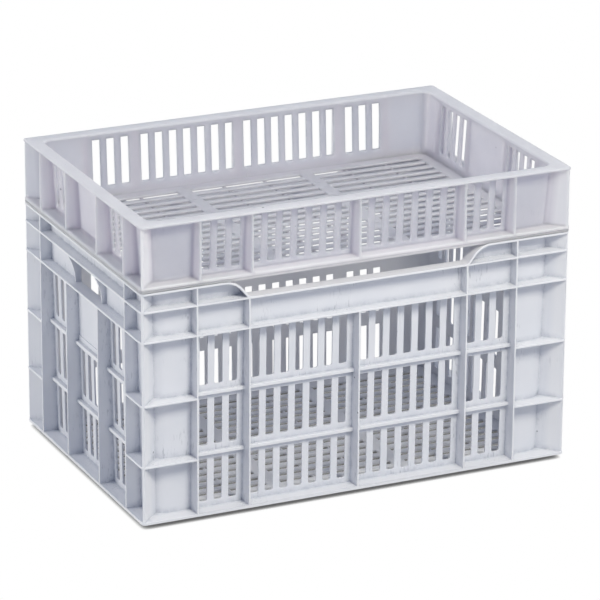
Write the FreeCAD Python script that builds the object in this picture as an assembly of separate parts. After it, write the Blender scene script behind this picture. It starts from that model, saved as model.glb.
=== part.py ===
import FreeCAD, Part
import math
import os
from collections import namedtuple

Vector = FreeCAD.Vector

# Plan of both mouldings, in millimetres
LENGTH = 600.0                 # outside, along X
WIDTH = 400.0                  # outside, along Y
OUTER_CORNER_RADIUS = 6.0      # crate's rim and both base flanges
TRAY_RIM_RADIUS = 4.0          # corners of the tray's rim
LEDGE_CORNER_CUT = 4.7         # flat across the corners of the ledges
WALL_CORNER_FLATS = 4          # short flats that round each corner of the walls
WALL = 2.8
LEDGE = 2.9                    # thickness of the rim and of the ledges that go all round
RIB_NOSE = 2.4                 # upright ribs, at the outer plane
CORNER_BLADE = 3.6             # diagonal web in each corner

# Foot that drops into the rim below, and the open floor
FOOT_HEIGHT = 6.0
FOOT_INSET = 20.8              # from the outer plane
FOOT_RING = 12.0               # width of the ring that the moulding rests on
FLOOR = 3.0
FLOOR_RIB = 3.0                # cross ribs under the floor
FLOOR_RIB_HEIGHT = 3.0
FLOOR_BAYS = 3                 # parted by the cross ribs
FLOOR_SLOT_MARGIN = 8.0        # slot to the foot ring or a cross rib

# Ventilation slots
SLOT_WIDTH = 10.8
SLOT_PITCH = 20.3
SLOT_SIDE_MARGIN = 7.0         # least distance from a rib's middle plane
SLOT_CORNER_CUT = 1.8          # flat across the lower corners

# Deep crate: widths of the bays, counted from the outer corner
CRATE_CORNER_BAY = 76.0        # long side
CRATE_SIDE_BAY = 71.5
CRATE_END_CORNER_BAY = 56.0    # short side
CRATE_END_SIDE_BAY = 90.3
CRATE_RECESS = 15.0            # outer plane to the wall, under the rim
CRATE_CORNER_RADIUS = 24.0     # outside of the wall, behind the corner blade
CRATE_RIB_ROOT = 3.8           # at the foot of the wall
CRATE_FLANGE = 4.0

# Deep crate: heights of its bands, each from underside to underside
BOTTOM_ROW = 76.0
MIDDLE_ROW = 82.0
UPPER_ROW = 84.5
HAND_BAND = 40.0
TOP_BAND = 26.5
ROW_SLOT_MARGIN = 7.0          # slot end to the ledge or bar above and below
BAR = 4.8                      # bar between two rows of slots
BAR_PROUD = 6.0                # in front of the wall

# Deep crate: dip in the rim of each long side
DIP_SLOPE = 52.0               # degrees
DIP_LOWER_RADIUS = 8.0
DIP_UPPER_RADIUS = 32.0

# Deep crate: handhold in each short side
HAND_HALF_WIDTH = 44.0
HAND_RADIUS = 6.0              # upper corners
HAND_CHEEK = 3.0               # upright plate beside each end of the opening
HAND_CHEEK_PROUD = 6.0         # in front of the wall, at the sill

# Deep crate: step along the foot of the plain panel under the handhold
PANEL_STEP = 7.0
PANEL_STEP_PROUD = 1.2

# Shallow tray
TRAY_RISE = 87.0               # base flange to rim top
TRAY_CORNER_BAY = 80.5
TRAY_SIDE_BAY = 71.0
TRAY_END_CORNER_BAY = 59.0
TRAY_END_SIDE_BAY = 88.6
TRAY_RECESS = 15.5
TRAY_CORNER_RADIUS = 17.0
TRAY_RIB_ROOT = 9.2
TRAY_FLANGE = 7.5
TRAY_SLOT_SILL = 5.5           # above the base flange
TRAY_SLOT_HEADROOM = 6.5       # under the rim
TRAY_GROOVE = 0.9              # fine groove round the edge of the base flange
TRAY_GROOVE_DEPTH = 1.2
TRAY_GROOVE_LEVEL = 3.0        # above the flange's underside

# Cutting solids run this far past what they cut
OVERRUN = 10.0

# Levels of the crate, from the floor that it stands on
BAR_LOW = FOOT_HEIGHT + BOTTOM_ROW
BAR_HIGH = BAR_LOW + MIDDLE_ROW
LEDGE_LOW = BAR_HIGH + UPPER_ROW
LEDGE_HIGH = LEDGE_LOW + HAND_BAND
CRATE_HEIGHT = LEDGE_HIGH + TOP_BAND
TRAY_HEIGHT = FOOT_HEIGHT + TRAY_RISE

Moulding = namedtuple("Moulding", "height recess corner rib_root long_ribs end_ribs")


def moulding(height, recess, corner, rib_root, corner_bay, side_bay, end_corner_bay, end_side_bay):
    """One open container: its height, its walls and the places of its upright ribs."""
    outer_x = LENGTH / 2 - corner_bay
    outer_y = WIDTH / 2 - end_corner_bay
    return Moulding(height, recess, corner, rib_root,
                    (outer_x, outer_x - side_bay), (outer_y, outer_y - end_side_bay))


CRATE = moulding(CRATE_HEIGHT, CRATE_RECESS, CRATE_CORNER_RADIUS, CRATE_RIB_ROOT,
                 CRATE_CORNER_BAY, CRATE_SIDE_BAY, CRATE_END_CORNER_BAY, CRATE_END_SIDE_BAY)
TRAY = moulding(TRAY_HEIGHT, TRAY_RECESS, TRAY_CORNER_RADIUS, TRAY_RIB_ROOT,
                TRAY_CORNER_BAY, TRAY_SIDE_BAY, TRAY_END_CORNER_BAY, TRAY_END_SIDE_BAY)


def centred_box(x_half, y_half, z_low, z_high):
    """Box centred on the Z axis."""
    return Part.makeBox(2 * x_half, 2 * y_half, z_high - z_low, Vector(-x_half, -y_half, z_low))


def span_box(x_span, y_span, z_span):
    """Box between the two ends given on each axis."""
    low = Vector(x_span[0], y_span[0], z_span[0])
    high = Vector(x_span[1], y_span[1], z_span[1])
    size = high - low
    return Part.makeBox(size.x, size.y, size.z, low)


def uprights(block):
    """Edges of a block that run from its underside to its top."""
    return [e for e in block.Edges if e.BoundBox.ZLength > block.BoundBox.ZLength / 2]


def rounded_plate(z_low, z_high, radius, inset=0.0):
    """Plate with the full plan of the container, less an inset, round at the corners."""
    box = centred_box(LENGTH / 2 - inset, WIDTH / 2 - inset, z_low, z_high)
    return box.makeFillet(radius, uprights(box))


def ledge_plate(z_low, z_high):
    """Plate with the full plan of the container, cut off flat at the corners."""
    box = centred_box(LENGTH / 2, WIDTH / 2, z_low, z_high)
    return box.makeChamfer(LEDGE_CORNER_CUT, uprights(box))


def recess_at(spec, z):
    """Depth of the drafted wall behind the outer plane, at a height."""
    return FOOT_INSET + (spec.recess - FOOT_INSET) * z / spec.height


def polygon_face(points):
    """Flat face with the given corners."""
    return Part.Face(Part.makePolygon(points + points[:1]))


def wall_outline(inset, radius, z):
    """Corners of the walls' plan at a height: straight sides, joined by rounds of short flats."""
    points = []
    for quarter, (x_side, y_side) in enumerate(((1, 1), (-1, 1), (-1, -1), (1, -1))):
        x_middle = x_side * (LENGTH / 2 - inset - radius)
        y_middle = y_side * (WIDTH / 2 - inset - radius)
        for i in range(WALL_CORNER_FLATS + 1):
            angle = math.radians(90 * (quarter + i / WALL_CORNER_FLATS))
            points.append(Vector(x_middle + radius * math.cos(angle),
                                 y_middle + radius * math.sin(angle), z))
    return points


def drafted_block(spec, inside, z_low, z_high):
    """Block with the walls' draft and corners, lying the given distance inside their outer face."""
    low, high = [wall_outline(recess_at(spec, z) + inside, spec.corner - inside, z)
                 for z in (z_low, z_high)]
    faces = [polygon_face(low), polygon_face(high)]
    for i in range(len(low)):
        faces.append(polygon_face([low[i - 1], low[i], high[i], high[i - 1]]))
    return Part.Solid(Part.Shell(faces))


def rib_plate(spec, place, across_y, z_low, z_high):
    """Upright plate right across the container, thicker at the walls than at its noses."""
    half = (WIDTH if across_y else LENGTH) / 2
    nose = RIB_NOSE / 2
    root = spec.rib_root / 2
    wall = half - FOOT_INSET
    outline = [(-nose, -half), (nose, -half), (root, -wall), (root, wall),
               (nose, half), (-nose, half), (-root, wall), (-root, -wall)]
    if across_y:
        points = [Vector(place + a, b, z_low) for a, b in outline]
    else:
        points = [Vector(b, place - a, z_low) for a, b in outline]
    return polygon_face(points).extrude(Vector(0, 0, z_high - z_low))


def corner_blades(spec, z_low):
    """Diagonal webs from the outer corners, run on into the space that is hollowed later."""
    plan = ledge_plate(z_low, spec.height)
    reach = (FOOT_INSET + spec.corner) * math.sqrt(2)
    blades = []
    for x_side in (-1, 1):
        for y_side in (-1, 1):
            blade = Part.makeBox(reach, CORNER_BLADE, spec.height - z_low,
                                 Vector(0, -CORNER_BLADE / 2, z_low))
            inwards = math.degrees(math.atan2(-y_side, -x_side))
            blade.rotate(Vector(0, 0, 0), Vector(0, 0, 1), inwards)
            blade.translate(Vector(x_side * LENGTH / 2, y_side * WIDTH / 2, 0))
            blades.append(blade.common(plan))
    return blades


def mirrored(places):
    """Places on both sides of the middle, in order."""
    return sorted([-p for p in places] + list(places))


def slot_places(low, high):
    """Middles of the slots that fit between two ribs, evenly spaced about the bay's middle."""
    room = high - low - 2 * SLOT_SIDE_MARGIN - SLOT_WIDTH
    count = int(room // SLOT_PITCH) + 1
    middle = (low + high) / 2
    return [middle + (i - (count - 1) / 2) * SLOT_PITCH for i in range(count)]


def long_slot_places(spec):
    """Middles of the slots along a long side: two bays each side of the middle rib."""
    outer, inner = spec.long_ribs
    half = slot_places(0.0, inner) + slot_places(inner, outer)
    return mirrored(half)


def slot_cutter(x_span, y_span, z_span):
    """Block that cuts one slot through two opposite walls, flat across its lower corners."""
    block = span_box(x_span, y_span, z_span)
    through = max(block.BoundBox.XLength, block.BoundBox.YLength)
    low = [e for e in block.Edges
           if e.BoundBox.ZMax < z_span[0] + SLOT_CORNER_CUT and e.Length > through - SLOT_CORNER_CUT]
    return block.makeChamfer(SLOT_CORNER_CUT, low)


def long_slots(spec, z_low, z_high):
    """One row of slots through both long sides."""
    reach = WIDTH / 2 + OVERRUN
    half = SLOT_WIDTH / 2
    return [slot_cutter((x - half, x + half), (-reach, reach), (z_low, z_high))
            for x in long_slot_places(spec)]


def end_slots(places, z_low, z_high):
    """One row of slots through both short sides."""
    reach = LENGTH / 2 + OVERRUN
    half = SLOT_WIDTH / 2
    return [slot_cutter((-reach, reach), (y - half, y + half), (z_low, z_high)) for y in places]


def floor_openings():
    """Pockets between the ribs under the floor, and the slots through the floor."""
    x_half = LENGTH / 2 - FOOT_INSET - FOOT_RING
    y_half = WIDTH / 2 - FOOT_INSET - FOOT_RING
    bay = (2 * x_half - (FLOOR_BAYS - 1) * FLOOR_RIB) / FLOOR_BAYS
    slot_half_length = bay / 2 - FLOOR_SLOT_MARGIN
    rows = slot_places(-y_half, y_half)
    openings = []
    for i in range(FLOOR_BAYS):
        x_low = -x_half + i * (bay + FLOOR_RIB)
        middle = x_low + bay / 2
        openings.append(span_box((x_low, x_low + bay), (-y_half, y_half), (-OVERRUN, FLOOR_RIB_HEIGHT)))
        for y in rows:
            openings.append(span_box((middle - slot_half_length, middle + slot_half_length),
                                     (y - SLOT_WIDTH / 2, y + SLOT_WIDTH / 2),
                                     (0.0, FLOOR_RIB_HEIGHT + FLOOR + OVERRUN)))
    return openings


def rounded_profile(corners):
    """Closed outline in the plane of the first axis and Z, with the given radius at each corner."""
    edges = []
    count = len(corners)
    starts, ends, middles = [], [], []
    for i, (a, z, radius) in enumerate(corners):
        here = Vector(a, 0, z)
        before = Vector(corners[i - 1][0], 0, corners[i - 1][1]) - here
        after = Vector(corners[(i + 1) % count][0], 0, corners[(i + 1) % count][1]) - here
        before.normalize()
        after.normalize()
        half_angle = before.getAngle(after) / 2
        tangent = radius / math.tan(half_angle)
        bisector = before + after
        bisector.normalize()
        starts.append(here + before * tangent)
        ends.append(here + after * tangent)
        middles.append(here + bisector * (radius / math.sin(half_angle) - radius))
    for i in range(count):
        if corners[i][2] > 0:
            edges.append(Part.Arc(starts[i], middles[i], ends[i]).toShape())
        edges.append(Part.LineSegment(ends[i], starts[(i + 1) % count]).toShape())
    return Part.Face(Part.Wire(edges))


def prism(profile, grow, half_length, along_y):
    """Profile, grown all round, run the same way either side of the middle along Y or X."""
    face = profile.makeOffset2D(grow) if grow else profile
    solid = face.extrude(Vector(0, 2 * half_length, 0))
    solid.translate(Vector(0, -half_length, 0))
    if not along_y:
        solid.rotate(Vector(0, 0, 0), Vector(0, 0, 1), 90)
    return solid


def dip_profile():
    """Dip in the rim of a long side: a flat floor level with the top of the upper ledge."""
    floor = LEDGE_HIGH + LEDGE
    foot = CRATE.long_ribs[1]
    slope_run = (CRATE_HEIGHT - floor) / math.tan(math.radians(DIP_SLOPE))
    shoulder = foot + slope_run
    above = CRATE_HEIGHT + DIP_UPPER_RADIUS
    # The shoulder is a round edge, so the opening flares out above the rim
    flare = shoulder + DIP_UPPER_RADIUS * 2
    return rounded_profile([
        (-foot, floor, DIP_LOWER_RADIUS), (foot, floor, DIP_LOWER_RADIUS),
        (shoulder, CRATE_HEIGHT, DIP_UPPER_RADIUS), (flare, CRATE_HEIGHT, 0.0),
        (flare, above, 0.0), (-flare, above, 0.0),
        (-flare, CRATE_HEIGHT, 0.0), (-shoulder, CRATE_HEIGHT, DIP_UPPER_RADIUS)])


def handhold_profile():
    """Handhold between the two upper ledges: flat sill, rounded upper corners."""
    sill = LEDGE_LOW + LEDGE
    return rounded_profile([
        (-HAND_HALF_WIDTH, sill, 0.0), (HAND_HALF_WIDTH, sill, 0.0),
        (HAND_HALF_WIDTH, LEDGE_HIGH, HAND_RADIUS),
        (-HAND_HALF_WIDTH, LEDGE_HIGH, HAND_RADIUS)])


def hand_cheeks():
    """Plates beside the handholds; their front edge sweeps out in an arc to the upper ledge."""
    sill = LEDGE_LOW + LEDGE
    rise = LEDGE_HIGH - sill
    foot = LENGTH / 2 - recess_at(CRATE, sill) + HAND_CHEEK_PROUD
    run = LENGTH / 2 - foot
    # The arc starts upright at the sill and ends at the outer plane
    radius = (rise ** 2 + run ** 2) / (2 * run)
    half_sweep = math.asin(rise / radius) / 2
    middle = (foot + radius * (1 - math.cos(half_sweep)), sill + radius * math.sin(half_sweep))
    outline = [(LENGTH / 2, LEDGE_HIGH), (LENGTH / 2, LEDGE_HIGH + LEDGE), (0.0, LEDGE_HIGH + LEDGE),
               (0.0, LEDGE_LOW), (foot, LEDGE_LOW), (foot, sill)]
    points = [Vector(x, HAND_HALF_WIDTH, z) for x, z in outline]
    arc = Part.Arc(points[-1], Vector(middle[0], HAND_HALF_WIDTH, middle[1]), points[0]).toShape()
    face = Part.Face(Part.Wire(Part.makePolygon(points).Edges + [arc]))
    plate = face.extrude(Vector(0, HAND_CHEEK, 0))
    plates = [plate, plate.mirror(Vector(0, 0, 0), Vector(0, 1, 0))]
    return plates + [p.mirror(Vector(0, 0, 0), Vector(1, 0, 0)) for p in plates]


def walls_and_edges(spec, flange, rim_radius):
    """Drafted body with its rim, base flange and corner blades, before it is hollowed."""
    body = drafted_block(spec, 0.0, 0.0, spec.height)
    rim = rounded_plate(spec.height - LEDGE, spec.height, rim_radius)
    base = rounded_plate(FOOT_HEIGHT, FOOT_HEIGHT + flange, OUTER_CORNER_RADIUS)
    return [body, rim, base] + corner_blades(spec, FOOT_HEIGHT)


def hollow(spec, pieces, openings):
    """Joins the pieces of one moulding, then takes out its inside and its openings."""
    inside = drafted_block(spec, WALL, FLOOR_RIB_HEIGHT + FLOOR, spec.height + OVERRUN)
    solid = pieces[0].fuse(pieces[1:])
    solid = solid.cut(inside)
    solid = solid.cut(openings + floor_openings())
    return solid.removeSplitter()


def crate_ribs():
    """Upright ribs of the crate, each from the base flange to the ledge or rim that ends it."""
    outer_x, inner_x = CRATE.long_ribs
    outer_y, inner_y = CRATE.end_ribs
    long_side = [(x, CRATE_HEIGHT) for x in mirrored([outer_x])]
    long_side += [(x, LEDGE_HIGH + LEDGE) for x in mirrored([inner_x])]
    long_side += [(0.0, LEDGE_LOW + LEDGE)]
    short_side = [(y, CRATE_HEIGHT) for y in mirrored([outer_y])]
    short_side += [(y, LEDGE_LOW + LEDGE) for y in mirrored([inner_y])]
    ribs = [rib_plate(CRATE, x, True, FOOT_HEIGHT, top) for x, top in long_side]
    ribs += [rib_plate(CRATE, y, False, FOOT_HEIGHT, top) for y, top in short_side]
    return ribs


def crate_bars(z_low):
    """Bars between two rows of slots, with deep ledges at the same level in the corner bays."""
    front = recess_at(CRATE, z_low) - BAR_PROUD
    outer_x, outer_y = CRATE.long_ribs[0], CRATE.end_ribs[0]
    bars = [centred_box(outer_x, WIDTH / 2 - front, z_low, z_low + BAR),
            centred_box(LENGTH / 2 - front, outer_y, z_low, z_low + BAR)]
    corners = ledge_plate(z_low, z_low + LEDGE)
    corners = corners.cut([centred_box(outer_x, WIDTH, z_low, z_low + LEDGE),
                           centred_box(LENGTH, outer_y, z_low, z_low + LEDGE)])
    return bars + corners.Solids


def deep_crate():
    """Deep ventilated crate with dipped long sides and a handhold in each short side."""
    pieces = walls_and_edges(CRATE, CRATE_FLANGE, OUTER_CORNER_RADIUS) + crate_ribs()
    pieces += [ledge_plate(z, z + LEDGE) for z in (LEDGE_LOW, LEDGE_HIGH)]
    pieces += crate_bars(BAR_LOW) + crate_bars(BAR_HIGH) + hand_cheeks()

    dip = dip_profile()
    dip_lip = prism(dip, LEDGE, WIDTH / 2, True)
    pieces.append(dip_lip.common(rounded_plate(0.0, CRATE_HEIGHT, OUTER_CORNER_RADIUS)))

    step_low = BAR_HIGH + BAR
    step_front = recess_at(CRATE, step_low) - PANEL_STEP_PROUD
    pieces.append(centred_box(LENGTH / 2 - step_front, CRATE.end_ribs[1],
                              step_low, step_low + PANEL_STEP))

    rows = [(FOOT_HEIGHT + CRATE_FLANGE, BAR_LOW), (BAR_LOW + BAR, BAR_HIGH),
            (BAR_HIGH + BAR, LEDGE_LOW)]
    outer_y, inner_y = CRATE.end_ribs
    side_bays = mirrored(slot_places(inner_y, outer_y))
    middle_bay = slot_places(-inner_y, inner_y)
    openings = [prism(dip, 0.0, WIDTH / 2 + OVERRUN, True),
                prism(handhold_profile(), 0.0, LENGTH / 2 + OVERRUN, False)]
    for z_low, z_high in rows:
        low, high = z_low + ROW_SLOT_MARGIN, z_high - ROW_SLOT_MARGIN
        openings += long_slots(CRATE, low, high)
        openings += end_slots(side_bays, low, high)
        # The middle bay under the handhold is plain in the upper row
        if z_high < LEDGE_LOW:
            openings += end_slots(middle_bay, low, high)
    return hollow(CRATE, pieces, openings)


def shallow_tray():
    """Shallow ventilated tray, standing with its base flange on the crate's rim."""
    pieces = walls_and_edges(TRAY, TRAY_FLANGE, TRAY_RIM_RADIUS)
    pieces += [rib_plate(TRAY, x, True, FOOT_HEIGHT, TRAY_HEIGHT)
               for x in mirrored(TRAY.long_ribs) + [0.0]]
    pieces += [rib_plate(TRAY, y, False, FOOT_HEIGHT, TRAY_HEIGHT) for y in mirrored(TRAY.end_ribs)]
    low = FOOT_HEIGHT + TRAY_FLANGE + TRAY_SLOT_SILL
    high = TRAY_HEIGHT - LEDGE - TRAY_SLOT_HEADROOM
    outer_y, inner_y = TRAY.end_ribs
    groove_low = FOOT_HEIGHT + TRAY_GROOVE_LEVEL
    groove = centred_box(LENGTH, WIDTH, groove_low, groove_low + TRAY_GROOVE)
    groove = groove.cut(rounded_plate(groove_low, groove_low + TRAY_GROOVE,
                                      OUTER_CORNER_RADIUS - TRAY_GROOVE_DEPTH, TRAY_GROOVE_DEPTH))
    openings = [groove] + long_slots(TRAY, low, high)
    openings += end_slots(mirrored(slot_places(inner_y, outer_y)), low, high)
    tray = hollow(TRAY, pieces, openings)
    tray.translate(Vector(0, 0, CRATE_HEIGHT - FOOT_HEIGHT))
    return tray


os.makedirs("parts", exist_ok=True)
deep_crate().exportStep("parts/deep_crate.step")
shallow_tray().exportStep("parts/shallow_tray.step")
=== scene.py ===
"""Looks of the stacked food crate and tray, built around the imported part."""

import math

import bmesh
import bpy
from mathutils import Matrix, Vector


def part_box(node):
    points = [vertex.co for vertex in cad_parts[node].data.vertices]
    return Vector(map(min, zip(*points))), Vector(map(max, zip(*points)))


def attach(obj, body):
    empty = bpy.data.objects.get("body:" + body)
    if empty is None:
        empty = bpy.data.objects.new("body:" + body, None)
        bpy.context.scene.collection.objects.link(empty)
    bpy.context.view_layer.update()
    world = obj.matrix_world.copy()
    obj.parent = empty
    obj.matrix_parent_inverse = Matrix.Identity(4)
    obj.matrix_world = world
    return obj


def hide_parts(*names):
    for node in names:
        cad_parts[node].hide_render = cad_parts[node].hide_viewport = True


bl_info = {
    "name": "Stacked food crate and tray",
    "version": (1, 0, 0),
    "blender": (4, 5, 0),
    "location": "3D View > Sidebar > Crate",
    "description": "Finishes a deep ventilated crate and the shallow tray stacked on it",
    "category": "Object",
}

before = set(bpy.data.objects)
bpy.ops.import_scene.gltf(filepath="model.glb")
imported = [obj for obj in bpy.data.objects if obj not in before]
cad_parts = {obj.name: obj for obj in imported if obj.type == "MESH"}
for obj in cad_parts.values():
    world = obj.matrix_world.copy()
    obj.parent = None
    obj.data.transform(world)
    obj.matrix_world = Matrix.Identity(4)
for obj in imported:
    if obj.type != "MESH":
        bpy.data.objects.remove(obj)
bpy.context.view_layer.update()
MM = 0.001

# Sharp edges: flats that meet at less than EDGE_ANGLE are one round surface, and triangles
# that meet at less than FLAT_ANGLE are one flat; the distances are in millimetres
EDGE_ANGLE = math.radians(25)
FLAT_ANGLE = math.radians(1)
MERGE_DISTANCE = 0.01
CUT_TOLERANCE = 0.001

# Open floor of both mouldings, in millimetres; heights are above the foot
FLOOR_TOP = 6.0
FLOOR_POCKET_TOP = 3.0             # pockets between the ribs under the floor
FLOOR_HALF_WIDTH = 167.2           # inside the foot ring
CROSS_RIB_PLACE = 89.57            # the two cross ribs that the solid has already
CROSS_RIB_CLEARANCE = 2.0
RIB_LOW = 0.5                      # ribs stop short of the surface that the foot stands on
RIB_SINK = 0.1                     # and run a little into the floor
RIB_DRAFT = 90.0                   # change of width with height, as a share for each metre
EDGE_BAND_PLACE = 167.0            # middle of the plain band along the long walls
GROOVE_LEVELS = (2.9, 4.0)         # of the groove in the tray's base flange, above its underside

# Ejector marks: sides of each disc, its top as a share of its foot, and the rows in millimetres
MARK_SIDES = 24
MARK_TOP_SHARE = 0.94
CROSS_BAND_ROW, CROSS_BAND_MARKS = 240.0, 5
EDGE_BAND_ROW, EDGE_BAND_MARKS = 480.0, 7

# Upper corners of the handholds, in millimetres
HAND_HALF_WIDTH = 44.0
HAND_TOP = 288.5
HAND_CORNER_REACH = 7.0            # a little more than the radius of the corner
HAND_WALL_OUTSIDE = (283.5, 286.0)

# Places well inside the openings, in millimetres, clear of the corners of the solids:
# the three groups of floor slots, and the rows of openings in the walls
FLOOR_SLOT_PLACES = (-234.8, 0.0, 234.8)
CRATE_ROW_PLACES = (44.0, 123.0, 206.0, 267.4, 297.7)
TRAY_ROW_PLACES = (358.0,)

# Outer planes of both mouldings, and the depth of the drafted wall behind them at the foot
OUTER_X, OUTER_Y = 300.0, 200.0
WALL_DEPTH_LOW = 20.8

# Patterns of the plastic, in millimetres
FLOW_CLOUD = 48.0                  # clouds where the melt met
RECESS_REACH, CORNER_REACH = 45.0, 12.0  # size of the recesses that get painted shade, and of the corners that get dust and painted shade
PATCH = 9.0                        # patches of dust with painted shade, and of sheen
SCUFF_WIDTH, SCUFF_LENGTH = 2.2, 14.0
SCUFF_AREA = 62.0                  # areas with and without scuffs
GRAIN_SHOWN = 1.4
PANEL_WAVE = 34.0
RIM_EDGE = (3.5, 2.5)              # below the top, where the painted light of the rim begins and is full
RIB_RISE = (0.5, 7.0)              # proud of the wall, where the painted light of the ribs begins and is full

# Lamps: name, which is also that of its setting, direction from the object, diameter in metres
LAMPS = (
    ("key", (0.08, -0.70, 0.71), 1.0),
    ("left", (-0.92, 0.29, 0.26), 1.8),
    ("top", (0.0, -0.1, 1.0), 2.4),
    ("back", (0.93, 0.30, 0.20), 2.0),
)
LAMP_DISTANCE = 3.0                # metres
LAMP_AIM = Vector((0, 0, 0.2))     # middle of the stack
SHADOW_REACH = 20.0                # millimetres above the floor
FLOOR_HALF_SIZE = 7.0              # metres
PHOTO_PIXELS = 600
SENSOR_WIDTH = 36.0                # millimetres


def linear(hex_colour):
    """Turns an sRGB hex colour into the linear values that the shader works in."""
    channels = [int(hex_colour[i:i + 2], 16) / 255 for i in (1, 3, 5)]
    return tuple(c / 12.92 if c <= 0.04045 else ((c + 0.055) / 1.055) ** 2.4 for c in channels)


def per_mm(size):
    """Texture scale at which one feature measures the given number of millimetres."""
    return 1 / (size * MM)


def add(tree, kind, inputs=None, **settings):
    """Adds one node with its settings, socket values and links."""
    node = tree.nodes.new(kind)
    for name, value in settings.items():
        setattr(node, name, value)
    for socket, value in (inputs or {}).items():
        if isinstance(value, bpy.types.NodeSocket):
            tree.links.new(value, node.inputs[socket])
        else:
            node.inputs[socket].default_value = value
    return node


class CrateEdgeSettings(bpy.types.PropertyGroup):
    """Rounding that the mould leaves on the outer edges."""
    radius: bpy.props.FloatProperty(
        name="Edge radius", description="Rounding of the outer edges",
        default=0.7 * MM, min=0.0, unit="LENGTH")
    groove_radius: bpy.props.FloatProperty(
        name="Groove edge radius", description="Rounding beside the fine groove of the tray's base",
        default=0.25 * MM, min=0.0, unit="LENGTH")
    segments: bpy.props.IntProperty(
        name="Segments", description="Faces across each rounded edge", default=2, min=1, max=4)


class CrateFloorSettings(bpy.types.PropertyGroup):
    """Stiffening ribs and ejector marks of the open floors."""
    rib_width: bpy.props.FloatProperty(
        name="Rib width", description="Width of the ribs under the floor, at the floor",
        default=2.4 * MM, unit="LENGTH")
    rib_pitch: bpy.props.FloatProperty(
        name="Rib pitch", description="Distance between the ribs under the floor",
        default=59.71 * MM, unit="LENGTH")
    rib_count: bpy.props.IntProperty(
        name="Rib places", description="Places for ribs along the floor, cross ribs counted",
        default=8, min=2)
    mark_radius: bpy.props.FloatProperty(
        name="Mark radius", description="Radius of the round ejector marks",
        default=4.5 * MM, unit="LENGTH")
    mark_height: bpy.props.FloatProperty(
        name="Mark height", description="How far the ejector marks stand proud",
        default=0.35 * MM, unit="LENGTH")


class CratePlasticSettings(bpy.types.PropertyGroup):
    """Colours of the two plastics and of the dust, smears and painted shade in their corners."""
    crate_colour: bpy.props.FloatVectorProperty(
        name="Crate", description="Pigmented crate plastic", subtype="COLOR", size=3,
        min=0, max=1, default=linear("#E6E6EA"))
    tray_colour: bpy.props.FloatVectorProperty(
        name="Tray", description="Natural tray plastic", subtype="COLOR", size=3,
        min=0, max=1, default=linear("#C9C6CD"))
    # Dust and smears in the corners, together with the painted shade there
    grime_and_shade_colour: bpy.props.FloatVectorProperty(
        name="Grime", description="Dust and smears in the corners", subtype="COLOR", size=3,
        min=0, max=1, default=linear("#7F8798"))


class CrateStageSettings(bpy.types.PropertyGroup):
    """Camera and light of the photograph."""
    azimuth: bpy.props.FloatProperty(
        name="Azimuth", description="Camera direction about the upright axis, from the long side",
        subtype="ANGLE", default=math.radians(-24.9014))
    elevation: bpy.props.FloatProperty(
        name="Elevation", description="Camera height above the horizon",
        subtype="ANGLE", default=math.radians(19.8219))
    roll: bpy.props.FloatProperty(
        name="Roll", description="Turn of the camera about its view",
        subtype="ANGLE", default=math.radians(0.333))
    distance: bpy.props.FloatProperty(
        name="Distance", description="Camera to the aimed point", unit="LENGTH", default=5.27456)
    focal_pixels: bpy.props.FloatProperty(
        name="Focal length", description="In pixels of the photograph", default=4017.18)
    aim_side: bpy.props.FloatProperty(
        name="Aim sideways", description="Aimed point, along the camera's right",
        unit="LENGTH", default=7.985 * MM)
    aim_height: bpy.props.FloatProperty(
        name="Aim height", description="Aimed point, above the floor",
        unit="LENGTH", default=199.149 * MM)
    surround: bpy.props.FloatProperty(
        name="Surround", description="Even bluish light from the white room",
        default=0.43, min=0)
    key: bpy.props.FloatProperty(
        name="Key", description="Share of light from the lamp high at the front",
        default=0.67, min=0)
    left: bpy.props.FloatProperty(
        name="Left", description="Share of light from the large lamp at the left",
        default=0.44, min=0)
    top: bpy.props.FloatProperty(
        name="Top", description="Share of light from the large lamp overhead",
        default=0.04, min=0)
    back: bpy.props.FloatProperty(
        name="Back", description="Share of light from the large lamp at the right, a little behind",
        default=0.30, min=0)


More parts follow.
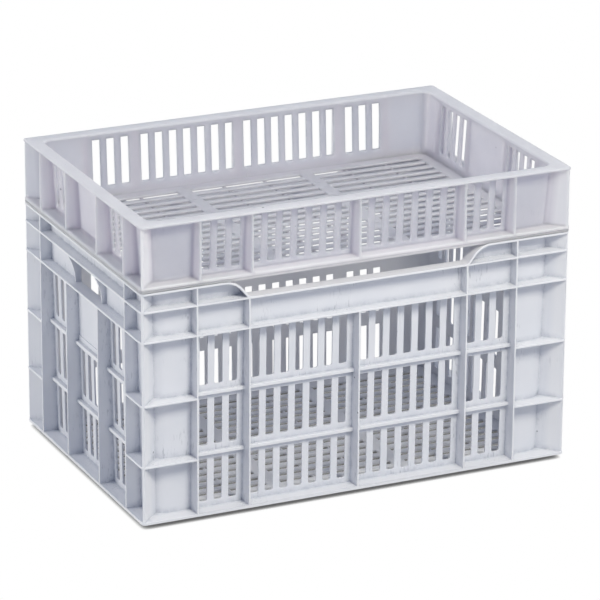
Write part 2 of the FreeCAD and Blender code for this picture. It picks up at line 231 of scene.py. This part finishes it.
def moulded_plastic(name, colour, grime_and_shade, look):
    """Injection-moulded polyethylene: satin, faintly mottled, with a fine grain from the mould.

    The eye gets a soft broad sheen, slight waves in flat panels, painted light that makes the
    proud parts whiter, painted shade in the recesses, dust with painted shade in the inner
    corners, and a few dark scuffs and specks from handling."""
    material = bpy.data.materials.new(name)
    material.use_nodes = True
    tree = material.node_tree
    tree.nodes.clear()
    place = add(tree, "ShaderNodeTexCoord").outputs["Object"]

    # Clouds of slightly deeper colour where the melt met, a few centimetres across
    flow = add(tree, "ShaderNodeTexNoise", {
        "Vector": place, "Scale": per_mm(FLOW_CLOUD), "Detail": 3.0})
    flow_amount = add(tree, "ShaderNodeMapRange", {
        "Value": flow.outputs["Fac"], "From Min": 0.35, "From Max": 0.7,
        "To Min": 0.0, "To Max": look["flow"]})
    body = add(tree, "ShaderNodeMix", {
        "Factor": flow_amount.outputs["Result"], 6: (*colour, 1.0), 7: (*look["deep"], 1.0)},
        data_type="RGBA")

    # Painted light: ribs, ledges and flanges stand proud of the drafted wall and are drawn whiter
    # than it, standing in for the light they catch and, in the milky tray, the light passing
    # through them; the rim has its own share of this painted light
    at = add(tree, "ShaderNodeSeparateXYZ", {"Vector": place})
    beyond = []
    for axis, outer in (("X", OUTER_X), ("Y", OUTER_Y)):
        off_middle = add(tree, "ShaderNodeMath", {0: at.outputs[axis]}, operation="ABSOLUTE")
        beyond.append(add(tree, "ShaderNodeMath", {
            0: off_middle.outputs[0], 1: outer * MM}, operation="SUBTRACT").outputs[0])
    furthest = add(tree, "ShaderNodeMath", {0: beyond[0], 1: beyond[1]}, operation="MAXIMUM")
    depth = add(tree, "ShaderNodeMapRange", {
        "Value": at.outputs["Z"], "From Min": look["foot"], "From Max": look["top"],
        "To Min": WALL_DEPTH_LOW * MM, "To Max": look["recess"] * MM})
    proud = add(tree, "ShaderNodeMath", {
        0: furthest.outputs[0], 1: depth.outputs["Result"]}, operation="ADD")
    painted_light_on_ribs = add(tree, "ShaderNodeMapRange", {
        "Value": proud.outputs[0], "From Min": RIB_RISE[0] * MM, "From Max": RIB_RISE[1] * MM,
        "To Min": 0.0, "To Max": look["proud"]})
    painted_light_on_rim = add(tree, "ShaderNodeMapRange", {
        "Value": at.outputs["Z"],
        "From Min": look["top"] - RIM_EDGE[0] * MM, "From Max": look["top"] - RIM_EDGE[1] * MM,
        "To Min": 0.0, "To Max": 1.0})
    painted_light_amount = add(tree, "ShaderNodeMix", {
        "Factor": painted_light_on_rim.outputs["Result"], "A": painted_light_on_ribs.outputs["Result"], "B": look["rim"]})
    body = add(tree, "ShaderNodeMix", {
        "Factor": painted_light_amount.outputs[0], 6: body.outputs[2], 7: (*look["painted_light_colour"], 1.0)},
        data_type="RGBA")

    # Painted shade: the recesses are drawn darker and bluer, where shade falls, while the outer
    # edges are left clear of it
    recess = add(tree, "ShaderNodeAmbientOcclusion", {
        "Distance": RECESS_REACH * MM}, samples=8, only_local=True)
    recess_shade_amount = add(tree, "ShaderNodeMapRange", {
        "Value": recess.outputs["AO"], "From Min": 0.97, "From Max": 0.55,
        "To Min": 0.0, "To Max": look["recess_shade"]})
    recess_shaded = add(tree, "ShaderNodeMix", {
        "Factor": recess_shade_amount.outputs["Result"],
        6: body.outputs[2], 7: (*look["recess_shade_colour"], 1.0)}, data_type="RGBA")

    # Dust and smears held in the inner corners, with painted shade there too, broken up by a coarse
    # noise
    corner = add(tree, "ShaderNodeAmbientOcclusion", {
        "Distance": CORNER_REACH * MM}, samples=8, only_local=True)
    corner_dust_and_shade = add(tree, "ShaderNodeMapRange", {
        "Value": corner.outputs["AO"], "From Min": 0.85, "From Max": 0.25,
        "To Min": 0.0, "To Max": 1.0})
    patches = add(tree, "ShaderNodeTexNoise", {
        "Vector": place, "Scale": per_mm(PATCH), "Detail": 5.0, "Roughness": 0.65})
    patchy = add(tree, "ShaderNodeMapRange", {
        "Value": patches.outputs["Fac"], "From Min": 0.38, "From Max": 0.72,
        "To Min": 0.2, "To Max": look["dust_and_shade"]})
    dust_and_shade = add(tree, "ShaderNodeMath", {
        0: corner_dust_and_shade.outputs["Result"], 1: patchy.outputs["Result"]}, operation="MULTIPLY")
    dusted_and_shaded = add(tree, "ShaderNodeMix", {
        "Factor": dust_and_shade.outputs[0], 6: recess_shaded.outputs[2], 7: (*grime_and_shade, 1.0)}, data_type="RGBA")

    # Scuffs, longer upright than across, in some areas and most of all under the ledges
    upright = add(tree, "ShaderNodeMapping", {
        "Vector": place,
        "Scale": (per_mm(SCUFF_WIDTH), per_mm(SCUFF_WIDTH), per_mm(SCUFF_LENGTH))})
    rubs = add(tree, "ShaderNodeTexNoise", {
        "Vector": upright.outputs["Vector"], "Scale": 1.0, "Detail": 2.0})
    rub_lines = add(tree, "ShaderNodeMapRange", {
        "Value": rubs.outputs["Fac"], "From Min": 0.60, "From Max": 0.70,
        "To Min": 0.0, "To Max": look["rubs"]})
    rub_places = add(tree, "ShaderNodeTexNoise", {
        "Vector": place, "Scale": per_mm(SCUFF_AREA), "Detail": 1.0})
    rub_gate = add(tree, "ShaderNodeMapRange", {
        "Value": rub_places.outputs["Fac"], "From Min": 0.53, "From Max": 0.62,
        "To Min": 0.0, "To Max": 1.0})
    under_ledge = add(tree, "ShaderNodeMapRange", {
        "Value": recess.outputs["AO"], "From Min": 0.9, "From Max": 0.6,
        "To Min": 0.06, "To Max": 1.0})
    gated = add(tree, "ShaderNodeMath", {
        0: rub_lines.outputs["Result"], 1: rub_gate.outputs["Result"]}, operation="MULTIPLY")
    rub_amount = add(tree, "ShaderNodeMath", {
        0: gated.outputs[0], 1: under_ledge.outputs["Result"]}, operation="MULTIPLY")
    rubbed = add(tree, "ShaderNodeMix", {
        "Factor": rub_amount.outputs[0], 6: dusted_and_shaded.outputs[2], 7: (*linear("#5F6675"), 1.0)},
        data_type="RGBA")

    # Specks of about a millimetre, far apart: one cell in a few holds one
    cells = add(tree, "ShaderNodeTexVoronoi", {
        "Vector": place, "Scale": per_mm(look["speck_pitch"])})
    near = add(tree, "ShaderNodeMapRange", {
        "Value": cells.outputs["Distance"], "From Min": 0.03, "From Max": 0.05,
        "To Min": 1.0, "To Max": 0.0})
    chosen = add(tree, "ShaderNodeSeparateColor", {"Color": cells.outputs["Color"]})
    few = add(tree, "ShaderNodeMath", {
        0: chosen.outputs["Red"], 1: 0.72}, operation="GREATER_THAN")
    speck = add(tree, "ShaderNodeMath", {
        0: near.outputs["Result"], 1: few.outputs[0]}, operation="MULTIPLY")
    speck_amount = add(tree, "ShaderNodeMath", {0: speck.outputs[0], 1: 0.8}, operation="MULTIPLY")
    finished = add(tree, "ShaderNodeMix", {
        "Factor": speck_amount.outputs[0], 6: rubbed.outputs[2], 7: (*linear("#4E535E"), 1.0)},
        data_type="RGBA")

    # The grain of the mould is about 0.3 mm; it is drawn at 1.4 mm so that it shows
    grain = add(tree, "ShaderNodeTexNoise", {
        "Vector": place, "Scale": per_mm(GRAIN_SHOWN), "Detail": 2.0})
    fine = add(tree, "ShaderNodeBump", {
        "Height": grain.outputs["Fac"], "Strength": 0.10, "Distance": 0.12 * MM})
    if look["soft_mm"]:
        # The milky wall blurs its own corners, so light turns softly into them
        soft = add(tree, "ShaderNodeBevel", {"Radius": look["soft_mm"] * MM}, samples=8)
        tree.links.new(soft.outputs["Normal"], fine.inputs["Normal"])
    # Flat panels sink a little as they cool, which gives them shallow waves
    waves = add(tree, "ShaderNodeTexNoise", {
        "Vector": place, "Scale": per_mm(PANEL_WAVE), "Detail": 1.0})
    surface = add(tree, "ShaderNodeBump", {
        "Height": waves.outputs["Fac"], "Strength": 0.35, "Distance": 0.9 * MM,
        "Normal": fine.outputs["Normal"]})
    sheen_change = add(tree, "ShaderNodeMapRange", {
        "Value": patches.outputs["Fac"], "From Min": 0.3, "From Max": 0.7,
        "To Min": look["roughness"] - 0.05, "To Max": look["roughness"] + 0.07})

    shader = add(tree, "ShaderNodeBsdfPrincipled", {
        "Base Color": finished.outputs[2], "Roughness": sheen_change.outputs["Result"],
        "IOR": 1.53, "Subsurface Weight": look["depth"], "Subsurface Radius": (1.0, 0.92, 0.96),
        "Subsurface Scale": look["depth_mm"] * MM, "Normal": surface.outputs["Normal"]})
    add(tree, "ShaderNodeOutputMaterial", {"Surface": shader.outputs["BSDF"]})
    return material


# Depth of the wall under the rim and how far light sinks in are in millimetres; the amounts of
# painted light on proud parts, clouds, painted shade in recesses, dust with painted shade, and
# scuffs are shares
LOOKS = {
    # High-density polyethylene with white pigment, which hides the light behind it
    "crate": {
        "name": "HDPE_white_injection_moulded", "recess": 15.0,
        "proud": 0.7, "rim": 0.5, "painted_light_colour": linear("#F1F0F1"),
        "deep": linear("#DCDEE4"), "flow": 0.5,
        "recess_shade": 0.15, "recess_shade_colour": linear("#CDD2DB"), "dust_and_shade": 0.75, "rubs": 0.42,
        "speck_pitch": 34.0, "roughness": 0.44, "depth": 0.10, "depth_mm": 2.0, "soft_mm": 0.0},
    # High-density polyethylene without pigment: milky, so light sinks into the thin walls
    "tray": {
        "name": "HDPE_natural_injection_moulded", "recess": 15.5,
        "proud": 0.9, "rim": 0.45, "painted_light_colour": linear("#E4E0E3"),
        "deep": linear("#BEBBC3"), "flow": 0.55,
        "recess_shade": 0.10, "recess_shade_colour": linear("#C1BECA"), "dust_and_shade": 0.25, "rubs": 0.12,
        "speck_pitch": 40.0, "roughness": 0.40, "depth": 1.0, "depth_mm": 24.0, "soft_mm": 7.0},
}
NODES = {"crate": "deep_crate", "tray": "shallow_tray"}


def plastic(body, settings, slight=False):
    """Plastic of a moulding; in slight ribs and marks no light is shown sinking into it."""
    foot, top = (corner.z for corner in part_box(NODES[body]))
    look = {**LOOKS[body], "foot": foot, "top": top}
    name = look["name"]
    if slight:
        name += "_slight"
        look.update(depth=0.0, soft_mm=0.0)
    colour = getattr(settings, body + "_colour")[:]
    grime_and_shade = settings.grime_and_shade_colour[:]
    return bpy.data.materials.get(name) or moulded_plastic(name, colour, grime_and_shade, look)


def finish_piece(piece, body, plastics, *nodes):
    """Gives a piece its body and plastic, and hides the CAD nodes that it stands for."""
    piece.data.materials.clear()
    piece.data.materials.append(plastic(body, plastics, slight=not nodes))
    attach(piece, body)
    if nodes:
        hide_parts(*nodes)


def applied(source, name):
    """Plain mesh object with the result of another object's modifiers; the other one goes."""
    bpy.context.view_layer.update()
    evaluated = source.evaluated_get(bpy.context.evaluated_depsgraph_get())
    mesh = bpy.data.meshes.new_from_object(evaluated)
    if not mesh.polygons:
        raise RuntimeError(name + " came out without faces")
    mesh.name = name
    bpy.data.objects.remove(source)
    piece = bpy.data.objects.new(name, mesh)
    bpy.context.scene.collection.objects.link(piece)
    return piece


def in_hand_corner(point):
    """Whether an edge runs out to nothing in an upper corner of a handhold, and stays sharp."""
    return (HAND_WALL_OUTSIDE[0] * MM < abs(point.x) < HAND_WALL_OUTSIDE[1] * MM
            and abs(abs(point.y) - HAND_HALF_WIDTH * MM) < HAND_CORNER_REACH * MM
            and abs(point.z - HAND_TOP * MM) < HAND_CORNER_REACH * MM)


def moulding_with_round_edges(node, name, settings, row_places, groove_levels=None):
    """Copy of a moulding whose outer edges are rounded as the mould leaves them."""
    mesh = bpy.data.meshes.new(name + "_sharp")
    work = bmesh.new()
    work.from_mesh(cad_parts[node].data)
    bmesh.ops.remove_doubles(work, verts=work.verts, dist=MERGE_DISTANCE * MM)
    # A flat face with holes is parted across its holes, so that each part of it has
    # one plain outline when the triangles of the solid are merged
    cuts = [(Vector((1, 0, 0)), x) for x in FLOOR_SLOT_PLACES]
    cuts += [(Vector((0, 0, 1)), z) for z in row_places]
    for across, place in cuts:
        parted = bmesh.ops.bisect_plane(
            work, geom=work.verts[:] + work.edges[:] + work.faces[:], dist=CUT_TOLERANCE * MM,
            plane_co=across * place * MM, plane_no=across)
        for item in parted["geom_cut"]:
            if isinstance(item, bmesh.types.BMEdge):
                item.seam = True
    bmesh.ops.dissolve_limit(
        work, angle_limit=FLAT_ANGLE, verts=work.verts, edges=work.edges, delimit={"SEAM"})
    weight = work.edges.layers.float.new("bevel_weight_edge")
    fine = settings.groove_radius / settings.radius
    for edge in work.edges:
        sharp = edge.calc_face_angle(0.0) > EDGE_ANGLE
        edge.smooth = not sharp
        if sharp and edge.is_convex:
            middle = (edge.verts[0].co + edge.verts[1].co) / 2
            beside_groove = groove_levels and groove_levels[0] <= middle.z <= groove_levels[1]
            if not in_hand_corner(middle):
                edge[weight] = fine if beside_groove else 1.0
    work.to_mesh(mesh)
    work.free()
    for face in mesh.polygons:
        face.use_smooth = True
    sharp = bpy.data.objects.new(name + "_sharp", mesh)
    bpy.context.scene.collection.objects.link(sharp)
    bevel = sharp.modifiers.new("Edges", "BEVEL")
    bevel.limit_method = "WEIGHT"
    bevel.width = settings.radius
    bevel.segments = settings.segments
    bevel.use_clamp_overlap = False
    bevel.harden_normals = True
    return applied(sharp, name)


def geometry_tree(name, sockets):
    """New geometry tree with named inputs, one geometry output, and its input node."""
    tree = bpy.data.node_groups.new(name, "GeometryNodeTree")
    for label, kind in sockets.items():
        tree.interface.new_socket(label, in_out="INPUT", socket_type="NodeSocket" + kind)
    tree.interface.new_socket("Geometry", in_out="OUTPUT", socket_type="NodeSocketGeometry")
    return tree, add(tree, "NodeGroupInput").outputs


def end_tree(tree, instances, material):
    """Turns the instances into a mesh with its material, and ends the tree."""
    real = add(tree, "GeometryNodeRealizeInstances", {"Geometry": instances})
    coated = add(tree, "GeometryNodeSetMaterial", {
        "Geometry": real.outputs["Geometry"], "Material": material})
    add(tree, "NodeGroupOutput", {"Geometry": coated.outputs["Geometry"]})


def grown(name, tree, values):
    """Piece made by a geometry tree from the given values of its named inputs."""
    seed = bpy.data.objects.new(name + "_seed", bpy.data.meshes.new(name + "_seed"))
    modifier = seed.modifiers.new("Tree", "NODES")
    modifier.node_group = tree
    for item in tree.interface.items_tree:
        if item.in_out == "INPUT":
            modifier[item.identifier] = values[item.name]
    bpy.context.scene.collection.objects.link(seed)
    return applied(seed, name)


def floor_rib_tree():
    """Row of tapered ribs across the underside of a floor, left out where a cross rib stands."""
    tree, size = geometry_tree("floor_ribs", {
        "Rib Size": "Vector", "Draft": "Float", "First Place": "Vector", "Pitch": "Vector",
        "Places": "Int", "Cross Rib Place": "Float", "Clearance": "Float", "Material": "Material"})
    places = add(tree, "GeometryNodeMeshLine", {
        "Count": size["Places"], "Start Location": size["First Place"], "Offset": size["Pitch"]})
    bar = add(tree, "GeometryNodeMeshCube", {"Size": size["Rib Size"]})
    # The rib gets thinner downwards, so that it leaves the mould
    position = add(tree, "GeometryNodeInputPosition").outputs["Position"]
    at = add(tree, "ShaderNodeSeparateXYZ", {"Vector": position})
    lean = add(tree, "ShaderNodeMath", {
        0: at.outputs["Z"], 1: size["Draft"]}, operation="MULTIPLY")
    push = add(tree, "ShaderNodeMath", {
        0: lean.outputs[0], 1: at.outputs["X"]}, operation="MULTIPLY")
    offset = add(tree, "ShaderNodeCombineXYZ", {"X": push.outputs[0]})
    tapered = add(tree, "GeometryNodeSetPosition", {
        "Geometry": bar.outputs["Mesh"], "Offset": offset.outputs["Vector"]})
    from_middle = add(tree, "ShaderNodeMath", {0: at.outputs["X"]}, operation="ABSOLUTE")
    from_cross = add(tree, "ShaderNodeMath", {
        0: from_middle.outputs[0], 1: size["Cross Rib Place"]}, operation="SUBTRACT")
    apart = add(tree, "ShaderNodeMath", {0: from_cross.outputs[0]}, operation="ABSOLUTE")
    free = add(tree, "ShaderNodeMath", {
        0: apart.outputs[0], 1: size["Clearance"]}, operation="GREATER_THAN")
    ribs = add(tree, "GeometryNodeInstanceOnPoints", {
        "Points": places.outputs["Mesh"], "Selection": free.outputs[0],
        "Instance": tapered.outputs["Geometry"]})
    end_tree(tree, ribs.outputs["Instances"], size["Material"])
    return tree


def pin_mark_tree():
    """Round marks that the ejector pins leave on a floor, in the bands between its slots."""
    tree, size = geometry_tree("pin_marks", {
        "Mark Radius": "Float", "Mark Height": "Float", "Level": "Vector",
        "Cross Band Spacing": "Float", "Cross Band Row": "Float", "Cross Band Marks": "Int",
        "Edge Band Spacing": "Float", "Edge Band Row": "Float", "Edge Band Marks": "Int",
        "Material": "Material"})
    top = add(tree, "ShaderNodeMath", {
        0: size["Mark Radius"], 1: MARK_TOP_SHARE}, operation="MULTIPLY")
    disc = add(tree, "GeometryNodeMeshCone", {
        "Vertices": MARK_SIDES, "Radius Top": top.outputs[0], "Radius Bottom": size["Mark Radius"],
        "Depth": size["Mark Height"]})
    on_cross_bands = add(tree, "GeometryNodeMeshGrid", {
        "Size X": size["Cross Band Spacing"], "Vertices X": 2,
        "Size Y": size["Cross Band Row"], "Vertices Y": size["Cross Band Marks"]})
    on_edge_bands = add(tree, "GeometryNodeMeshGrid", {
        "Size X": size["Edge Band Row"], "Vertices X": size["Edge Band Marks"],
        "Size Y": size["Edge Band Spacing"], "Vertices Y": 2})
    places = add(tree, "GeometryNodeJoinGeometry")
    for grid in (on_cross_bands, on_edge_bands):
        tree.links.new(grid.outputs["Mesh"], places.inputs["Geometry"])
    raised = add(tree, "GeometryNodeTransform", {
        "Geometry": places.outputs["Geometry"], "Translation": size["Level"]})
    marks = add(tree, "GeometryNodeInstanceOnPoints", {
        "Points": raised.outputs["Geometry"], "Instance": disc.outputs["Mesh"]})
    end_tree(tree, marks.outputs["Instances"], size["Material"])
    return tree


def foot_level(body):
    """Height of a moulding's foot at rest."""
    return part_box(NODES[body])[0].z


class CRATE_OT_mouldings(bpy.types.Operator):
    """Deep crate and shallow tray: one moulding each, with rounded edges"""
    bl_idname = "crate.mouldings"
    bl_label = "Crate and tray mouldings"

    def execute(self, context):
        scene = context.scene
        crate = moulding_with_round_edges(
            "deep_crate", "crate_moulding", scene.crate_edges, CRATE_ROW_PLACES)
        finish_piece(crate, "crate", scene.crate_plastics, "deep_crate")
        flange = foot_level("tray") + FLOOR_TOP * MM
        groove = [flange + level * MM for level in GROOVE_LEVELS]
        tray = moulding_with_round_edges(
            "shallow_tray", "tray_moulding", scene.crate_edges, TRAY_ROW_PLACES, groove)
        finish_piece(tray, "tray", scene.crate_plastics, "shallow_tray")
        return {"FINISHED"}


class CRATE_OT_floor_ribs(bpy.types.Operator):
    """Ribs across the underside of both floors"""
    bl_idname = "crate.floor_ribs"
    bl_label = "Floor ribs"

    def execute(self, context):
        scene = context.scene
        floors = scene.crate_floors
        tree = floor_rib_tree()
        low, high = RIB_LOW * MM, (FLOOR_POCKET_TOP + RIB_SINK) * MM
        first = -floors.rib_pitch * (floors.rib_count - 1) / 2
        for body in NODES:
            middle = foot_level(body) + (low + high) / 2
            piece = grown(body + "_floor_ribs", tree, {
                "Rib Size": (floors.rib_width, 2 * FLOOR_HALF_WIDTH * MM, high - low),
                "Draft": RIB_DRAFT,
                "First Place": (first, 0.0, middle), "Pitch": (floors.rib_pitch, 0.0, 0.0),
                "Places": floors.rib_count,
                "Cross Rib Place": CROSS_RIB_PLACE * MM, "Clearance": CROSS_RIB_CLEARANCE * MM,
                "Material": plastic(body, scene.crate_plastics, slight=True)})
            finish_piece(piece, body, scene.crate_plastics)
        return {"FINISHED"}


class CRATE_OT_pin_marks(bpy.types.Operator):
    """Round ejector marks on both floors"""
    bl_idname = "crate.pin_marks"
    bl_label = "Ejector marks"

    def execute(self, context):
        scene = context.scene
        floors = scene.crate_floors
        tree = pin_mark_tree()
        for body in NODES:
            level = foot_level(body) + FLOOR_TOP * MM
            piece = grown(body + "_pin_marks", tree, {
                "Mark Radius": floors.mark_radius, "Mark Height": floors.mark_height,
                "Level": (0.0, 0.0, level),
                "Cross Band Spacing": 2 * CROSS_RIB_PLACE * MM,
                "Cross Band Row": CROSS_BAND_ROW * MM, "Cross Band Marks": CROSS_BAND_MARKS,
                "Edge Band Spacing": 2 * EDGE_BAND_PLACE * MM,
                "Edge Band Row": EDGE_BAND_ROW * MM, "Edge Band Marks": EDGE_BAND_MARKS,
                "Material": plastic(body, scene.crate_plastics, slight=True)})
            finish_piece(piece, body, scene.crate_plastics)
        return {"FINISHED"}


class CRATE_OT_stage(bpy.types.Operator):
    """Pale floor, soft studio light and the camera of the photograph"""
    bl_idname = "crate.stage"
    bl_label = "Stage"

    def execute(self, context):
        scene = context.scene
        settings = scene.crate_stage
        scene.view_settings.view_transform = "Standard"
        surround(scene, settings)
        white_floor(scene)
        for name, towards, size in LAMPS:
            soft_lamp(scene, name, towards, size, getattr(settings, name))
        photo_camera(scene, settings)
        return {"FINISHED"}


def seen_directly(tree):
    """1 for rays from the camera, mirror-like rays and rays through clear material, else 0."""
    path = add(tree, "ShaderNodeLightPath")
    either = add(tree, "ShaderNodeMath", {
        0: path.outputs["Is Camera Ray"], 1: path.outputs["Is Glossy Ray"]}, operation="MAXIMUM")
    any_of_them = add(tree, "ShaderNodeMath", {
        0: either.outputs[0], 1: path.outputs["Is Transmission Ray"]}, operation="MAXIMUM")
    return any_of_them.outputs[0]


def surround(scene, settings):
    """White surround that looks white and lights the object evenly, a little bluish."""
    world = bpy.data.worlds.new("studio")
    world.use_nodes = True
    tree = world.node_tree
    tree.nodes.clear()
    light = add(tree, "ShaderNodeBackground", {
        "Color": (*linear("#BFD4FF"), 1.0), "Strength": settings.surround})
    white = add(tree, "ShaderNodeBackground", {"Color": (1, 1, 1, 1), "Strength": 1.0})
    mixed = add(tree, "ShaderNodeMixShader", {
        "Fac": seen_directly(tree), 1: light.outputs[0], 2: white.outputs[0]})
    add(tree, "ShaderNodeOutputWorld", {"Surface": mixed.outputs[0]})
    scene.world = world


def white_floor(scene):
    """White paper that keeps the object's shadow where the object stands close above it."""
    material = bpy.data.materials.new("floor_paper_matt_white")
    material.use_nodes = True
    tree = material.node_tree
    tree.nodes.clear()
    paper = add(tree, "ShaderNodeBsdfDiffuse", {"Color": (*linear("#CFCFCF"), 1.0)})
    open_above = add(tree, "ShaderNodeAmbientOcclusion", {
        "Distance": SHADOW_REACH * MM}, samples=16)
    shadow = add(tree, "ShaderNodeMapRange", {
        "Value": open_above.outputs["AO"], "From Min": 0.14, "From Max": 0.54,
        "To Min": 0.12, "To Max": 1.0})
    seen = add(tree, "ShaderNodeEmission", {
        "Color": (1, 1, 1, 1), "Strength": shadow.outputs["Result"]})
    total = add(tree, "ShaderNodeMixShader", {
        "Fac": seen_directly(tree), 1: paper.outputs[0], 2: seen.outputs[0]})
    add(tree, "ShaderNodeOutputMaterial", {"Surface": total.outputs[0]})

    mesh = bpy.data.meshes.new("floor")
    work = bmesh.new()
    bmesh.ops.create_grid(work, x_segments=1, y_segments=1, size=FLOOR_HALF_SIZE)
    work.to_mesh(mesh)
    work.free()
    mesh.materials.append(material)
    floor = bpy.data.objects.new("floor", mesh)
    scene.collection.objects.link(floor)


def soft_lamp(scene, name, towards, size, share):
    """Round lamp with a soft cover; a white face turned to it gains the stated share of light."""
    towards = Vector(towards).normalized()
    lamp = bpy.data.lights.new(name, "AREA")
    lamp.shape = "DISK"
    lamp.size = size
    lamp.energy = share * math.pi ** 2 * LAMP_DISTANCE ** 2
    lamp.color = linear("#FFFBEC")
    holder = bpy.data.objects.new(name, lamp)
    scene.collection.objects.link(holder)
    holder.location = towards * LAMP_DISTANCE + LAMP_AIM
    holder.rotation_euler = towards.to_track_quat("Z", "Y").to_euler()
    holder.visible_camera = False


def photo_camera(scene, settings):
    """Camera at the photograph's viewing angle."""
    a, e, roll = settings.azimuth, settings.elevation, settings.roll
    back = Vector((math.sin(a) * math.cos(e), -math.cos(a) * math.cos(e), math.sin(e)))
    level = Vector((math.cos(a), math.sin(a), 0))
    upright = back.cross(level)
    right = level * math.cos(roll) + upright * math.sin(roll)
    up = upright * math.cos(roll) - level * math.sin(roll)
    aim = right * settings.aim_side + Vector((0, 0, settings.aim_height))
    data = bpy.data.cameras.new("photo_camera")
    data.sensor_width = SENSOR_WIDTH
    data.lens = settings.focal_pixels * SENSOR_WIDTH / PHOTO_PIXELS
    data.clip_end = 100.0
    camera = bpy.data.objects.new("photo_camera", data)
    scene.collection.objects.link(camera)
    turn = Matrix((right, up, back)).transposed().to_4x4()
    camera.matrix_world = Matrix.Translation(aim + back * settings.distance) @ turn
    scene.camera = camera


class CRATE_PT_panel(bpy.types.Panel):
    """Lists the pieces of the stack and their settings"""
    bl_idname = "CRATE_PT_panel"
    bl_label = "Crate and tray"
    bl_space_type = "VIEW_3D"
    bl_region_type = "UI"
    bl_category = "Crate"

    def draw(self, context):
        for operator in OPERATORS:
            self.layout.operator(operator.bl_idname)
        for group in GROUPS:
            settings = getattr(context.scene, group)
            box = self.layout.box()
            for prop in GROUPS[group].__annotations__:
                box.prop(settings, prop)


GROUPS = {
    "crate_edges": CrateEdgeSettings,
    "crate_floors": CrateFloorSettings,
    "crate_plastics": CratePlasticSettings,
    "crate_stage": CrateStageSettings,
}
OPERATORS = (CRATE_OT_mouldings, CRATE_OT_floor_ribs, CRATE_OT_pin_marks, CRATE_OT_stage)
CLASSES = (*GROUPS.values(), *OPERATORS, CRATE_PT_panel)


def register():
    """Makes the settings, operators and panel known to Blender."""
    for cls in CLASSES:
        bpy.utils.register_class(cls)
    for name, group in GROUPS.items():
        setattr(bpy.types.Scene, name, bpy.props.PointerProperty(type=group))


def unregister():
    """Takes them away again."""
    for name in GROUPS:
        delattr(bpy.types.Scene, name)
    for cls in reversed(CLASSES):
        bpy.utils.unregister_class(cls)


def main():
    """Builds the pieces and the stage."""
    register()
    bpy.ops.crate.mouldings()
    bpy.ops.crate.floor_ribs()
    bpy.ops.crate.pin_marks()
    bpy.ops.crate.stage()


if __name__ == "__main__":
    main()
